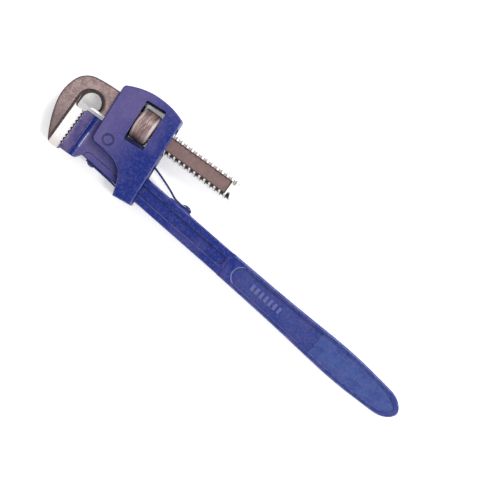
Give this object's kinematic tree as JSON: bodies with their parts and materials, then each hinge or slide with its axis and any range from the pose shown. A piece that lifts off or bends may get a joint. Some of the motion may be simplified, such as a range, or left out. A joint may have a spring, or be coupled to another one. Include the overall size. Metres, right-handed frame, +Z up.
{
  "type": "pipe wrench",
  "caption": "Long-handled pipe wrench: a toothed hook jaw on a threaded shank, a thumb nut in a pivoting sprung frame, and a heel jaw on the handle.",
  "frame": {"origin": "middle of the underside of the whole wrench lying flat, jaws shut", "axes": "+X along the handle to the grip end, +Y to the side the threaded shank is on, +Z up through the thickness"},
  "size_m": [0.602, 0.138, 0.045],
  "materials": {
    "enamel": "glossy blue-violet enamel on rough forging",
    "jaw_steel": "blue enamel sides, bare dark teeth",
    "forged_steel": "bare forging with bright machined teeth and thread",
    "nut_steel": "machined, fine knurl"
  },
  "bodies": {
    "handle_body": {"handle": "enamel", "heel_jaw": "jaw_steel", "heel_jaw_pin": "nut_steel", "rear_leaf_spring": "enamel", "front_leaf_spring": "enamel", "rear_spring_rivet": "enamel", "front_spring_rivet": "enamel"},
    "frame_body": {"frame": "enamel", "frame_pin": "enamel"},
    "nut_body": {"adjusting_nut": "nut_steel"},
    "hook_body": {"hook_jaw": "forged_steel"}
  },
  "joints": [
    {"name": "frame_pivot", "type": "hinge", "parent": "handle_body", "child": "frame_body", "pos_m": [-0.214, -0.0166, 0.0225], "axis": [0, 0, -1], "range_deg": [0, 3.5], "stiffness_Nm_per_rad": 40, "springref_deg": -5.73, "deforming": ["rear_leaf_spring", "front_leaf_spring"]},
    {"name": "nut_spin", "type": "hinge", "parent": "frame_body", "child": "nut_body", "pos_m": [-0.18982, 0.02758, 0.0225], "axis": [0.9959, 0.091, 0], "range_deg": [0, 3960]},
    {"name": "hook_slide", "type": "slide", "parent": "frame_body", "child": "hook_body", "axis": [-0.9959, -0.091, 0], "range_m": [0, 0.088]}
  ],
  "couplings": [
    {"joint": "nut_spin", "follows": "hook_slide", "rad_per_m": 785.4}
  ]
}
